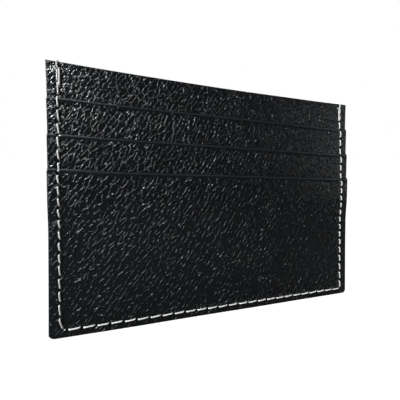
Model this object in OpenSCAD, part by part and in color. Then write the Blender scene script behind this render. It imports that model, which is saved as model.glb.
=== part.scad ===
// Slim card holder in stitched leather. It stands on its bottom edge, +Z up, with its front facing -Y and
// its origin at the middle of the bottom edge. Two equal halves are sewn together on three sides, and the
// space between them is a pocket that is open at the top. Each half carries three stepped card pockets.

/* [Overall size] */
// Width across the finished edges
holder_w = 100; // [96:0.5:110]
// Height of the leather, bottom edge to top edge
holder_h = 74; // [72:0.5:80]
// Radius of the bottom corners
corner_r = 1.25; // [0.8:0.05:2.5]

/* [Pocket mouths] */
// Drop from the top edge to the top pocket's mouth
top_drop = 9.65; // [9.55:0.05:9.7]
// Drop from the top pocket's mouth to the middle one
middle_drop = 9.7; // [9.6:0.05:9.8]
// Drop from the middle pocket's mouth to the bottom one
bottom_drop = 9.4; // [9.2:0.05:9.6]
// Height of the cards that the pockets hold
card_h = 54; // [54:0.5:55]
// How much of a card shows above an upper pocket's mouth
card_show = 8; // [7:0.5:9]

/* [Sheet thicknesses] */
// Leather of the full-height panels
panel_t = 0.6; // [0.5:0.05:0.65]
// Leather of the pockets, pared thin
pocket_t = 0.45; // [0.35:0.05:0.5]
// Fabric linings
lining_t = 0.1; // [0.06:0.02:0.12]
// Board between each panel and the central lining
board_t = 0.2; // [0.1:0.05:0.3]
// Space left between neighbouring sheets
sheet_gap = 0.02; // [0.01:0.01:0.03]
// Opening of the central pocket when it is empty
centre_gap = 0.16; // [0.1:0.02:0.4]
// Thickness of the paint that seals the cut edges
paint_t = 0.25; // [0.15:0.05:0.35]

/* [Stitching] */
// Distance of the seams from the left and right edges
side_inset = 2.5; // [2:0.1:3]
// Distance of the bottom seam from the bottom edge
bottom_inset = 2.05; // [1.8:0.05:2.5]
// Stitches up the left edge
left_count = 19; // [16:1:22]
// Stitches up the right edge
right_count = 21; // [18:1:23]
// Stitches along the bottom edge, after the short first one
bottom_count = 26; // [22:1:29]
// Length of the short first stitch of the bottom row
corner_stitch = 1.7; // [1.4:0.1:2]
// Drop from the top edge to the start of the left row
left_tack = 8.9; // [8.8:0.1:9]
// Drop from the top edge to the start of the right row
right_tack = 6.8; // [6.7:0.1:6.9]
// How much longer a side row's end stitches are than its average, as the thick middle feeds more slowly
pitch_ease = 0.12; // [0.1:0.01:0.13]
// Width of the needle thread where it lies on the leather
thread_w = 0.4; // [0.3:0.05:0.4]
// How far the thread stands out from the leather
thread_h = 0.25; // [0.15:0.05:0.3]
// Radius of the needle holes
needle_r = 0.32; // [0.3:0.01:0.34]

/* [Hidden] */

leather_black = [0.05, 0.055, 0.06];
lining_black = [0.1, 0.1, 0.11];
board_grey = [0.35, 0.33, 0.3];
thread_white = [0.93, 0.92, 0.88];
thread_black = [0.12, 0.12, 0.12];

// Heights of the three mouths
mouth_top = holder_h - top_drop;
mouth_middle = mouth_top - middle_drop;
mouth_bottom = mouth_middle - bottom_drop;

// The leather of an upper pocket ends this far below the next mouth, and overlaps its lining by this much
strip_below = 7;
strip_join = 5;

// Floors of the two upper pockets, and how far each lining runs on below its floor
floor_top = mouth_top + card_show - card_h;
floor_middle = mouth_middle + card_show - card_h;
floor_margin = 3;

// Distance of each sheet's inner face from the middle plane of the holder
centre_lining_d = centre_gap / 2;
board_d = centre_lining_d + lining_t + sheet_gap;
panel_d = board_d + board_t + sheet_gap;
top_lining_d = panel_d + panel_t + sheet_gap;
top_pocket_d = top_lining_d + lining_t + sheet_gap;
middle_lining_d = top_pocket_d + pocket_t + sheet_gap;
middle_pocket_d = middle_lining_d + lining_t + sheet_gap;
bottom_lining_d = middle_pocket_d + pocket_t + sheet_gap;
bottom_pocket_d = bottom_lining_d + lining_t + sheet_gap;

// Below the leather of the middle pocket the outer sheets lie closer in
ease_top = mouth_bottom - strip_below;
ease_bottom = ease_top - 10;
ease = 0.45;
lining_ease = 0.25;

sheet_w = holder_w - 2 * paint_t;
sheet_corner_r = corner_r - paint_t;
// The board and the upper linings stay inside the seams
inner_w = holder_w - 2 * side_inset - 2;
board_top_inset = 5;

// Depth of the outermost leather at height z
function leather_depth(z) =
    z > mouth_top ? panel_d + panel_t :
    z > mouth_middle ? top_pocket_d + pocket_t :
    z > mouth_bottom ? middle_pocket_d + pocket_t :
    z > ease_top ? bottom_pocket_d + pocket_t :
    z > ease_bottom ? bottom_pocket_d + pocket_t - ease * (ease_top - z) / (ease_top - ease_bottom) :
    bottom_pocket_d + pocket_t - ease;
RIDGES = [ease_top, mouth_bottom, mouth_middle, mouth_top];

// Needle holes as [x, z], each list in the order in which it is sewn
left_x = -holder_w / 2 + side_inset;
right_x = holder_w / 2 - side_inset;
left_top = holder_h - left_tack;
right_top = holder_h - right_tack;
tack_inset = 2;
bottom_start = left_x + corner_stitch;
function row(a, b, n) = [for (i = [0:n]) a + (b - a) * i / n];
// The same, with longer steps at both ends
function eased_row(a, b, n) =
    [for (i = [0:n]) a + (b - a) * (i / n + pitch_ease * sin(360 * i / n) / (2 * PI))];
left_holes = [for (z = eased_row(bottom_inset, left_top, left_count)) [left_x, z]];
right_holes = [for (z = eased_row(bottom_inset, right_top, right_count)) [right_x, z]];
left_tack_holes = [for (z = row(left_top, holder_h - tack_inset, 2)) [left_x, z]];
right_tack_holes = [for (z = row(right_top, holder_h - tack_inset, 2)) [right_x, z]];
bottom_holes = concat([[left_x, bottom_inset]],
    [for (x = row(bottom_start, right_x, bottom_count)) [x, bottom_inset]]);

// The second strand of each back-tack has two holes of its own, a little inwards
strand_step = 0.7;
strand_bottom = 7.2;
strand_top = 3.6;
strand_z = [holder_h - strand_bottom, holder_h - strand_top];
left_strand = [for (z = strand_z) [left_x + strand_step, z]];
right_strand = [for (z = strand_z) [right_x - strand_step, z]];

SEAMS = [left_holes, right_holes, left_tack_holes, right_tack_holes, bottom_holes,
    left_strand, right_strand];
function tail(list) = [for (i = [1:len(list) - 1]) list[i]];
// Every hole once: a row that starts where another ends leaves out the hole that they share
HOLES = concat(left_holes, right_holes, tail(left_tack_holes), tail(right_tack_holes),
    [for (i = [1:len(bottom_holes) - 2]) bottom_holes[i]], left_strand, right_strand);

// Needle holes of the hidden floor seams
floor_half_w = 42;
floor_count = 14;
floor_hole_r = 0.25;
function floor_holes(z) = [for (x = row(-floor_half_w, floor_half_w, floor_count)) [x, z]];

// A stitch's underside clears the leather by this much
seat = 0.01;

// Reach of a cut that has to pass right through one half
through = 4;

// The central pocket's lining stops this far below the top edge, the bottom pocket's below its own mouth
lining_drop = 1;

// The board and the bottom pocket's lining start this far above the bottom seam
seam_clearance = 1;

// A shape that cuts or bounds another reaches this far past it
past = 1;

$fn = 32;
hole_fn = 20;

// One half of the holder is drawn facing -Y; the back half is its mirror image
module side(name) {
    if (name == "back") mirror([0, 1, 0]) children();
    else children();
}

// Upright outline from z0 to z1, with rounded bottom corners
module outline(w, z0, z1, r) {
    translate([-w / 2, z0 + r]) square([w, z1 - z0 - r]);
    translate([-w / 2 + r, z0]) square([w - 2 * r, r]);
    for (x = [-w / 2 + r, w / 2 - r]) translate([x, z0 + r]) circle(r);
}

// Sheet of thickness t whose inner face is at depth d
module sheet(w, z0, z1, d, t) {
    translate([-w / 2, -d - t, z0]) cube([w, t, z1 - z0]);
}

// End profile, as (-depth, height), of a sheet with a rounded mouth, between depths d and d + t
module mouth_profile(z0, z1, d, t) {
    translate([-d - t, z0]) square([t, z1 - z0 - t / 2]);
    translate([-d - t / 2, z1 - t / 2]) circle(t / 2);
}

// An end profile, drawn as (-depth, height), pulled across the width w
module pull_across(w) {
    translate([-w / 2, 0, 0]) rotate([90, 0, 90]) linear_extrude(w) children();
}

// An outline on the face, drawn as (x, z), pushed out from the middle plane
module push_out(depth) {
    rotate([90, 0, 0]) linear_extrude(depth) children();
}

module bore(holes, r, d) {
    for (h = holes) translate([h[0], 0.01, h[1]]) rotate([90, 0, 0]) cylinder(r = r, h = d, $fn = hole_fn);
}

function between(holes, z0, z1) = [for (h = holes) if (h[1] > z0 && h[1] < z1) h];

module body_panel() {
    color(leather_black) difference() {
        intersection() {
            pull_across(sheet_w) mouth_profile(0, holder_h, panel_d, panel_t);
            push_out(through) outline(sheet_w, paint_t, holder_h, sheet_corner_r);
        }
        bore(HOLES, needle_r, through);
        bore(concat(floor_holes(floor_top), floor_holes(floor_middle)), floor_hole_r, through);
    }
}

module upper_pocket(mouth, next_mouth, d) {
    z0 = next_mouth - strip_below;
    color(leather_black) difference() {
        pull_across(sheet_w) mouth_profile(z0, mouth, d, pocket_t);
        bore(between(HOLES, z0 - past, mouth + past), needle_r, through);
    }
}

module bottom_pocket() {
    d = bottom_pocket_d;
    color(leather_black) difference() {
        intersection() {
            pull_across(sheet_w) {
                mouth_profile(ease_top, mouth_bottom, d, pocket_t);
                eased_profile(0, ease_top, d, pocket_t, ease);
            }
            push_out(through) outline(sheet_w, paint_t, holder_h, sheet_corner_r);
        }
        bore(between(HOLES, 0, mouth_bottom + past), needle_r, through);
    }
}

// End profile of a sheet that lies closer in below the ease
module eased_profile(z0, z1, d, t, by) {
    polygon([
        [-d, z1], [-d - t, z1], [-d - t, ease_top], [-d - t + by, ease_bottom],
        [-d - t + by, z0], [-d + by, z0], [-d + by, ease_bottom], [-d, ease_top]
    ]);
}

module top_pocket_lining() {
    color(lining_black) difference() {
        sheet(inner_w, floor_top - floor_margin, mouth_middle - strip_below + strip_join,
            top_lining_d, lining_t);
        bore(floor_holes(floor_top), floor_hole_r, through);
    }
}

module middle_pocket_lining() {
    color(lining_black) difference() {
        pull_across(inner_w) eased_profile(floor_middle - floor_margin, ease_top + strip_join,
            middle_lining_d, lining_t, lining_ease);
        bore(floor_holes(floor_middle), floor_hole_r, through);
    }
}

module bottom_pocket_lining() {
    color(lining_black) pull_across(inner_w) eased_profile(bottom_inset + seam_clearance,
        mouth_bottom - lining_drop, bottom_lining_d, lining_t, ease);
}

module reinforcement() {
    color(board_grey) sheet(inner_w, bottom_inset + seam_clearance, holder_h - board_top_inset,
        board_d, board_t);
}

module centre_lining() {
    color(lining_black) difference() {
        sheet(sheet_w, corner_r, holder_h - lining_drop, centre_lining_d, lining_t);
        bore(HOLES, needle_r, through);
    }
}

// One stitch, between holes a and b. It lies on the leather, follows a step that it crosses, and turns down
// into both holes. It is drawn as (along, -depth) and then turned to run from a to b.
module stitch(a, b) {
    gap = 0.04;
    leg = 0.2;
    foot = 0.03;
    bend = 0.4;
    bend_room = 0.48;
    sunk = 0.05;
    step_margin = 0.05;
    just_below = 0.01;
    length = norm(b - a);
    along = (b - a) / length;
    function depth_at(s) = leather_depth(a[1] + s * along[1]);
    steps = [for (z = RIDGES) if ((z - a[1]) * (z - b[1]) < 0)
        let (s = (z + step_margin - a[1]) / along[1])
        if (s > bend_room && s < length - bend_room) [s, leather_depth(z - just_below)]];
    last = len(steps) - 1;
    top = concat([[bend, depth_at(bend)]], steps, [[length - bend, depth_at(length - bend)]]);
    in_a = gap + leg;
    in_b = length - gap - leg;
    profile = concat(
        [[gap, foot], [gap, depth_at(0) - sunk]],
        [for (p = top) [p[0], p[1] + thread_h]],
        [[length - gap, depth_at(length) - sunk], [length - gap, foot]],
        [[in_b, foot], [in_b, depth_at(in_b) + seat]],
        [for (i = [0:1:last]) [steps[last - i][0], steps[last - i][1] + seat]],
        [[in_a, depth_at(in_a) + seat], [in_a, foot]]
    );
    translate([a[0], 0, a[1]]) rotate([0, -atan2(along[1], along[0]), 0]) translate([0, 0, -thread_w / 2])
        linear_extrude(thread_w) polygon([for (p = profile) [p[0], -p[1]]]);
}

// The thread goes once round the top edge at each end of the seam
module edge_wrap(x) {
    d = leather_depth(holder_h);
    z0 = holder_h - tack_inset + 0.04;
    leg_t = 0.2;
    translate([x - thread_w / 2, 0, 0]) rotate([90, 0, 90]) linear_extrude(thread_w) difference() {
        translate([-d - thread_h, z0]) square([2 * d + 2 * thread_h, holder_h + thread_h - z0]);
        translate([-d - seat, z0 + leg_t]) square([2 * (d + seat), holder_h + seat - z0 - leg_t]);
    }
}

module seams() {
    color(thread_white) for (s = SEAMS) for (i = [0:len(s) - 2]) stitch(s[i], s[i + 1]);
}

module needle_thread() {
    seams();
    color(thread_white) for (x = [left_x, right_x]) edge_wrap(x);
}

// Hidden seam that closes the floor of an upper pocket: stitches on its lining, with legs through the panel
module floor_seam(z, lining_face) {
    seam_w = 0.25;
    seam_t = 0.15;
    gap = 0.04;
    leg = 0.14;
    pitch = 2 * floor_half_w / floor_count;
    color(thread_black) for (i = [0:floor_count - 1])
        translate([i * pitch - floor_half_w, 0, z - seam_w / 2]) linear_extrude(seam_w) polygon([
            [gap, -panel_d], [gap, -lining_face - seam_t], [pitch - gap, -lining_face - seam_t],
            [pitch - gap, -panel_d], [pitch - gap - leg, -panel_d], [pitch - gap - leg, -lining_face - seat],
            [gap + leg, -lining_face - seat], [gap + leg, -panel_d]
        ]);
}

// Edge paint covers the cut edges of both halves, so its section across the edge is the whole stack's
module stack_profile() {
    d = bottom_pocket_d + pocket_t;
    half = [
        [leather_depth(0), 0], [leather_depth(0), ease_bottom], [d, ease_top], [d, mouth_bottom],
        [leather_depth(mouth_middle - past), mouth_bottom],
        [leather_depth(mouth_middle - past), mouth_middle],
        [leather_depth(mouth_top - past), mouth_middle], [leather_depth(mouth_top - past), mouth_top],
        [leather_depth(holder_h), mouth_top], [leather_depth(holder_h), holder_h]
    ];
    last = len(half) - 1;
    polygon(concat(half, [for (i = [0:last]) [-half[last - i][0], half[last - i][1]]]));
}

module edge_paint(x0, x1) {
    color(leather_black) intersection() {
        pull_across(holder_w) stack_profile();
        translate([0, through, 0]) push_out(2 * through) difference() {
            outline(holder_w, 0, holder_h, corner_r);
            outline(sheet_w, paint_t, holder_h + past, sheet_corner_r);
        }
        translate([x0, -through, -past]) cube([x1 - x0, 2 * through, holder_h + 2 * past]);
    }
}

end_w = corner_r + 1;

side("front") body_panel();  // front_body_panel
side("front") upper_pocket(mouth_top, mouth_middle, top_pocket_d);  // front_top_pocket
side("front") upper_pocket(mouth_middle, mouth_bottom, middle_pocket_d);  // front_middle_pocket
side("front") bottom_pocket();  // front_bottom_pocket
side("front") top_pocket_lining();  // front_top_pocket_lining
side("front") middle_pocket_lining();  // front_middle_pocket_lining
side("front") bottom_pocket_lining();  // front_bottom_pocket_lining
side("front") reinforcement();  // front_reinforcement
side("front") centre_lining();  // front_centre_lining
side("front") floor_seam(floor_top, top_lining_d + lining_t);  // front_top_floor_seam
side("front") floor_seam(floor_middle, middle_lining_d + lining_t - lining_ease);  // front_middle_floor_seam
side("back") body_panel();  // back_body_panel
side("back") upper_pocket(mouth_top, mouth_middle, top_pocket_d);  // back_top_pocket
side("back") upper_pocket(mouth_middle, mouth_bottom, middle_pocket_d);  // back_middle_pocket
side("back") bottom_pocket();  // back_bottom_pocket
side("back") top_pocket_lining();  // back_top_pocket_lining
side("back") middle_pocket_lining();  // back_middle_pocket_lining
side("back") bottom_pocket_lining();  // back_bottom_pocket_lining
side("back") reinforcement();  // back_reinforcement
side("back") centre_lining();  // back_centre_lining
side("back") floor_seam(floor_top, top_lining_d + lining_t);  // back_top_floor_seam
side("back") floor_seam(floor_middle, middle_lining_d + lining_t - lining_ease);  // back_middle_floor_seam
side("front") needle_thread();  // front_stitching
side("back") seams();  // back_stitching
edge_paint(-holder_w / 2 - past, -holder_w / 2 + end_w);  // left_edge_paint
edge_paint(holder_w / 2 - end_w, holder_w / 2 + past);  // right_edge_paint
edge_paint(-holder_w / 2 + end_w, holder_w / 2 - end_w);  // bottom_edge_paint
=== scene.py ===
"""Visible leather, cloth, thread and paint of a slim stitched card holder, built around its CAD frame."""

import math
from collections import namedtuple

import bmesh
import bpy
import numpy as np
from mathutils import Matrix, Vector


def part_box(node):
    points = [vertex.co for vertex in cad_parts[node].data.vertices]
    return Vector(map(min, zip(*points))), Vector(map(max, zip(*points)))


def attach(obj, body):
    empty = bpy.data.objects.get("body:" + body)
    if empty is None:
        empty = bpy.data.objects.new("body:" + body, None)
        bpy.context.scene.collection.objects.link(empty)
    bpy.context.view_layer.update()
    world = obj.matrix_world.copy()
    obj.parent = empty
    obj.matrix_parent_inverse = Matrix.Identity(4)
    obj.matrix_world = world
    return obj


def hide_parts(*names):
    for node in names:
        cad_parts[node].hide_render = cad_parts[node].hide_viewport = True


bl_info = {
    "name": "Stitched Card Holder",
    "version": (1, 0, 0),
    "blender": (4, 5, 0),
    "location": "View3D > Sidebar > Card Holder",
    "description": "Builds the visible leather, cloth, thread and edge paint of a card holder on its frame",
    "category": "Object",
}

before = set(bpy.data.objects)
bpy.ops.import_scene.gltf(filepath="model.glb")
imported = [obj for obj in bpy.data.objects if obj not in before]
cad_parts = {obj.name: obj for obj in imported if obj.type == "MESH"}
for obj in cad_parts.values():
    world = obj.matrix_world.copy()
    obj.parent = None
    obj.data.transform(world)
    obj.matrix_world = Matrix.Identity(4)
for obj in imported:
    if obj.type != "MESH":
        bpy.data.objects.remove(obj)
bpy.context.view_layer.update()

MM = 0.001
ROOT = "root"
SIDES = ("front", "back")


# ---------------------------------------------------------------- the frame's own sizes, in millimetres


def span(node, axis):
    """Lowest and highest place of a CAD node along one axis, in millimetres."""
    low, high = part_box(node)
    return low[axis] / MM, high[axis] / MM


def depth_span(node):
    """Nearest and farthest distance of a CAD node from the holder's middle plane."""
    return tuple(sorted(abs(y) for y in span(node, 1)))


# How far the soft leather bulges past the straight cut of the frame
SIDE_BULGE = 0.42
TOP_BULGE = 0.25
BOTTOM_BULGE = 0.23
TOP_Z = span("front_body_panel", 2)[1] + TOP_BULGE
SHEET_Z0 = span("front_body_panel", 2)[0] - BOTTOM_BULGE
SHEET_HALF_W = span("front_body_panel", 0)[1] + SIDE_BULGE
EDGE_HALF_W = span("right_edge_paint", 0)[1] + SIDE_BULGE
PAINT_T = EDGE_HALF_W - SHEET_HALF_W
CORNER_R = PAINT_T + 1.0

# Heights of the mouths and depths of the leather sheets, measured from the middle plane
MOUTHS = [span(f"front_{name}_pocket", 2)[1] for name in ("top", "middle", "bottom")]
PANEL_D, PANEL_OUT = depth_span("front_body_panel")
TOP_D, TOP_OUT = depth_span("front_top_pocket")
MIDDLE_D, MIDDLE_OUT = depth_span("front_middle_pocket")
BOTTOM_LOW_D, BOTTOM_OUT = depth_span("front_bottom_pocket")
POCKET_T = TOP_OUT - TOP_D
PANEL_T = PANEL_OUT - PANEL_D

# Below the middle pocket's strip the outer sheets lie nearer the middle
BOTTOM_EASE = BOTTOM_OUT - POCKET_T - BOTTOM_LOW_D
EASE_TOP = span("front_middle_pocket", 2)[0]
EASE_LENGTH = 10.0

# The seams: half the width of the frame's stitches, and how far the pulled thread sits from them
THREAD_HALF = 0.2
LEFT_SHIFT = 0.1
RIGHT_SHIFT = 0.4
BOTTOM_SHIFT = 0.12
LEFT_X = span("front_stitching", 0)[0] + THREAD_HALF - LEFT_SHIFT
RIGHT_X = span("front_stitching", 0)[1] - THREAD_HALF - RIGHT_SHIFT
SEAM_Z = span("front_stitching", 2)[0] + THREAD_HALF + BOTTOM_SHIFT

# The back-tacks: how far below the top they begin on each side, and where they end
TACK_LEFT = 8.9
TACK_RIGHT = 6.8
TACK_TOP = 2.0

# What sewing does to the leather: sides drawn in, margins pressed down, troughs and dimples under the thread
SIDE_PULL = 0.4
MARGIN_DROP = 0.1
TROUGH_DEPTH = 0.07
TROUGH_HALF_W = 0.6
DIMPLE_DEPTH = 0.3
DIMPLE_HALF_W = 0.42

# Where the left ends of the mouths begin to rise, and where they are fully up
RISE_START = -36.0
RISE_END = -46.0

# How far the outer face of a sheet falls off at its cut edges, and over which width
ROLL_DROP = 0.18
ROLL_W = 0.4

# Units of the hide's map per millimetre
HIDE_MAP = 0.01


def smooth(edge0, edge1, x):
    """0 before edge0, 1 after edge1, and a soft step between."""
    t = np.clip((np.asarray(x, float) - edge0) / (edge1 - edge0), 0, 1)
    return t * t * (3 - 2 * t)


def wave(x, z):
    """Gentle unevenness that all the sheets of a half share."""
    broad = 0.07 * np.sin(x / 13.0 + 0.6 + z / 31.0) * np.sin(z / 17.0 + x / 41.0)
    return broad + 0.04 * np.sin(x / 6.1 - z / 9.3)


def lie(x, z):
    """The unevenness of the leather, with the margins outside the seams pressed a little inwards."""
    margin_start = RIGHT_X + 0.5
    return wave(x, z) - MARGIN_DROP * smooth(margin_start, SHEET_HALF_W, np.abs(x))


def draw_in(points):
    """The points after the pull of the seams has drawn the sides in a little at half height."""
    points = np.array(points, float)
    points[:, 0] *= 1 - SIDE_PULL / SHEET_HALF_W * np.sin(np.pi * np.clip(points[:, 2] / TOP_Z, 0, 1))
    return points


def bottom_ease(z):
    """How much nearer the middle the outermost sheets lie at height z than at the mouths."""
    return BOTTOM_EASE * (1 - smooth(EASE_TOP - EASE_LENGTH, EASE_TOP, z))


def leather_depth(z):
    """Depth of the outermost leather at height z."""
    z = np.asarray(z, float)
    out = np.where(z > MOUTHS[0], PANEL_OUT, np.where(z > MOUTHS[1], TOP_OUT, MIDDLE_OUT))
    return np.where(z > MOUTHS[2], out, BOTTOM_OUT - bottom_ease(z))


def soft_depth(z, near, far):
    """Depth of the outermost leather, softened by its depths near and far where a mouth makes a step."""
    return sum(leather_depth(z + dz) for dz in (-far, -near, near, far)) / 4


# ---------------------------------------------------------------- settings


class LeatherSettings(bpy.types.PropertyGroup):
    cell: bpy.props.FloatProperty(name="Pebble size", description="Width of one pebble of the grain, in mm",
                                  default=1.2, min=0.5, max=3)
    stretch: bpy.props.FloatProperty(name="Pebble stretch", description="Length of a pebble over its width",
                                     default=2.9, min=1, max=4)
    slant: bpy.props.FloatProperty(name="Grain slant", description="Angle of the pebbles up the hide",
                                   default=math.radians(57), subtype="ANGLE")
    height: bpy.props.FloatProperty(name="Grain height", description="Relief of the pebbles",
                                    default=0.00006, min=0, max=0.0004, subtype="DISTANCE", unit="LENGTH")
    step: bpy.props.FloatProperty(name="Mesh step", description="Spacing of the grain's points, in mm",
                                  default=0.25, min=0.2, max=1)
    colour: bpy.props.FloatVectorProperty(name="Leather colour", description="Colour of the dyed hide",
                                          default=(0.0038, 0.0045, 0.0052), subtype="COLOR", min=0, max=1)
    roughness: bpy.props.FloatProperty(name="Leather roughness", description="Roughness of the pebble tops",
                                       default=0.205, min=0, max=1, subtype="FACTOR")


class ThreadSettings(bpy.types.PropertyGroup):
    left_count: bpy.props.IntProperty(name="Left stitches", description="Stitches up the left edge",
                                      default=19)
    right_count: bpy.props.IntProperty(name="Right stitches", description="Stitches up the right edge",
                                       default=21)
    bottom_count: bpy.props.IntProperty(name="Bottom stitches", description="Stitches along the bottom edge",
                                        default=26)
    radius: bpy.props.FloatProperty(name="Thread radius", description="Radius of the sewing thread",
                                    default=0.00023, subtype="DISTANCE", unit="LENGTH")
    twist: bpy.props.FloatProperty(name="Twist length", description="Length of one turn of the plies",
                                   default=0.0013, subtype="DISTANCE", unit="LENGTH")
    colour: bpy.props.FloatVectorProperty(name="Thread colour", description="Colour of the waxed thread",
                                          default=(0.92, 0.915, 0.90), subtype="COLOR", min=0, max=1)


class StudioSettings(bpy.types.PropertyGroup):
    key: bpy.props.FloatProperty(name="Key light", description="Watts of the lamp at the upper left",
                                 default=3.2)
    side: bpy.props.FloatProperty(name="Side light", description="Watts of the light at the far left",
                                  default=1.2)
    top: bpy.props.FloatProperty(name="Top light", description="Watts of the light overhead", default=1.6)
    right: bpy.props.FloatProperty(name="Right light", description="Watts of the broad light at the right",
                                   default=0.4)
    ambient: bpy.props.FloatProperty(name="Ambient", description="Brightness of the room", default=0.05)
    lens: bpy.props.FloatProperty(name="Lens", description="Focal length on a 36 mm sensor", default=20.26)


# ---------------------------------------------------------------- nodes


class Wire:
    """The value of a node's socket. Sums on wires add Math nodes to the same tree."""

    def __init__(self, tree, socket):
        self.tree, self.socket = tree, socket

    @staticmethod
    def place(tree, kind, settings=None, inputs=None, out=0):
        """Adds one node, with its settings first and then its sockets' values or links; gives one output."""
        node = tree.nodes.new(kind)
        for name, value in (settings or {}).items():
            setattr(node, name, value)
        for name, value in (inputs or {}).items():
            socket = node.inputs[name]
            if isinstance(value, Wire):
                tree.links.new(value.socket, socket)
            else:
                socket.default_value = value
        return Wire(tree, node.outputs[out])

    def other(self, name):
        """Another output of the same node."""
        return Wire(self.tree, self.socket.node.outputs[name])

    def add(self, kind, settings=None, inputs=None, out=0):
        return Wire.place(self.tree, kind, settings, inputs, out)

    def math(self, operation, *values):
        return self.add("ShaderNodeMath", {"operation": operation}, dict(enumerate(values)))

    def __add__(self, other):
        return self.math("ADD", self, other)

    __radd__ = __add__

    def __sub__(self, other):
        return self.math("SUBTRACT", self, other)

    def __rsub__(self, other):
        return self.math("SUBTRACT", other, self)

    def __mul__(self, other):
        return self.math("MULTIPLY", self, other)

    __rmul__ = __mul__

    def low(self, other):
        return self.math("MINIMUM", self, other)

    def high(self, other):
        return self.math("MAXIMUM", self, other)

    def soft_step(self, start, end, low=0.0, high=1.0):
        """A soft step from low to high as this value goes from start to end."""
        return self.add("ShaderNodeMapRange", {"interpolation_type": "SMOOTHSTEP"},
                        {"Value": self, "From Min": start, "From Max": end, "To Min": low, "To Max": high})

    def vector(self, operation, value):
        second = "Scale" if operation == "SCALE" else 1
        return self.add("ShaderNodeVectorMath", {"operation": operation}, {0: self, second: value})

    def blend(self, a, b):
        """The colour a where this value is 0 and b where it is 1."""
        return self.add("ShaderNodeMix", {"data_type": "RGBA"}, {"Factor": self, 6: a, 7: b}, 2)

    def noise(self, scale, detail, roughness=0.5, distortion=0.0, flat=False, out="Fac"):
        """Noise at this place, through the solid or, where flat, over the hide."""
        return self.add("ShaderNodeTexNoise", {"noise_dimensions": "2D" if flat else "3D"},
                        {"Vector": self, "Scale": scale, "Detail": detail, "Roughness": roughness,
                         "Distortion": distortion}, out)

    def bump(self, strength, distance, normal=None):
        """The surface's normal, tilted by this height."""
        under = {"Normal": normal} if normal else {}
        return self.add("ShaderNodeBump",
                        inputs={"Strength": strength, "Distance": distance, "Height": self, **under})


def pebbles(place, cell, stretch, slant, flank):
    """Height of the pebbled grain, 0 to 1, at a place on the hide in millimetres.

    The flank is the width of a crease's slope, as a share of a pebble's width.
    """
    def to_edge(where, scale, randomness):
        return where.add("ShaderNodeTexVoronoi", {"voronoi_dimensions": "2D", "feature": "DISTANCE_TO_EDGE"},
                         {"Vector": where, "Scale": scale, "Randomness": randomness}, "Distance")

    warp = place.noise(0.55, 1.5, flat=True, out="Color")
    bent = place.vector("ADD", warp.vector("SUBTRACT", (0.5, 0.5, 0.5)).vector("SCALE", cell))
    turned = bent.add("ShaderNodeVectorRotate", {"rotation_type": "Z_AXIS"},
                      {"Vector": bent, "Angle": -slant})
    scaled = turned.vector("MULTIPLY", (1 / (cell * stretch), 1 / cell, 1.0))
    crease = to_edge(scaled, 1.0, 0.95)
    small = to_edge(scaled.vector("ADD", (7.3, 2.9, 0.0)), 1.9, 0.9)
    uneven = place.noise(0.9, 2.0, 0.55, flat=True)
    depth = uneven.soft_step(0.36, 0.62, 0.2, 0.95)
    fold = 1.0 - crease.soft_step(0.0, flank)
    fine = 1.0 - small.soft_step(0.0, 1.6 * flank)
    return 0.85 - fold * depth - fine * 0.12 + (uneven - 0.5) * 0.12


def new_tree(name, inputs):
    """An empty Geometry Nodes tree with named inputs; gives the tree and a function that reads an input."""
    tree = bpy.data.node_groups.new(name, "GeometryNodeTree")
    tree.interface.new_socket("Geometry", in_out="INPUT", socket_type="NodeSocketGeometry")
    tree.interface.new_socket("Geometry", in_out="OUTPUT", socket_type="NodeSocketGeometry")
    for label, kind, default in inputs:
        socket = tree.interface.new_socket(label, in_out="INPUT", socket_type=kind)
        if default is not None:
            socket.default_value = default
    start = tree.nodes.new("NodeGroupInput")
    return tree, lambda label: Wire(tree, start.outputs[label])


def end_tree(tree, made, material):
    """Ends a tree: makes its instances real and gives the result its material."""
    real = made.add("GeometryNodeRealizeInstances", inputs={"Geometry": made})
    dressed = made.add("GeometryNodeSetMaterial", inputs={"Geometry": real, "Material": material})
    out = tree.nodes.new("NodeGroupOutput")
    tree.links.new(dressed.socket, out.inputs["Geometry"])


def run_tree(obj, tree, values, name):
    """Runs a tree on obj with these input values and gives a plain mesh object of the result."""
    modifier = obj.modifiers.new(tree.name, "NODES")
    modifier.node_group = tree
    for item in tree.interface.items_tree:
        if item.item_type == "SOCKET" and item.in_out == "INPUT" and item.name in values:
            modifier[item.identifier] = values[item.name]
    bpy.context.view_layer.update()
    evaluated = obj.evaluated_get(bpy.context.evaluated_depsgraph_get())
    mesh = bpy.data.meshes.new_from_object(evaluated, preserve_all_data_layers=True,
                                           depsgraph=bpy.context.evaluated_depsgraph_get())
    made = bpy.data.objects.new(name, mesh)
    mesh.name = name
    bpy.context.scene.collection.objects.link(made)
    obj.modifiers.remove(modifier)
    bpy.data.objects.remove(obj)
    return made


# ---------------------------------------------------------------- meshes


def mesh_object(name, vertices, faces, attributes=None, uv=None):
    """A mesh object from points in millimetres, with its normals outward and its own point values."""
    mesh = bpy.data.meshes.new(name)
    mesh.from_pydata((draw_in(vertices) * MM).tolist(), [], faces)
    for label, values in (attributes or {}).items():
        mesh.attributes.new(label, "FLOAT", "POINT").data.foreach_set("value", np.asarray(values, np.float32))
    if uv is not None:
        corner = np.zeros(len(mesh.loops), np.int32)
        mesh.loops.foreach_get("vertex_index", corner)
        mesh.uv_layers.new(name="hide").data.foreach_set("uv", np.asarray(uv, np.float32)[corner].ravel())
    work = bmesh.new()
    work.from_mesh(mesh)
    bmesh.ops.recalc_face_normals(work, faces=work.faces)
    work.to_mesh(mesh)
    work.free()
    mesh.shade_smooth()
    obj = bpy.data.objects.new(name, mesh)
    bpy.context.scene.collection.objects.link(obj)
    return obj


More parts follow.
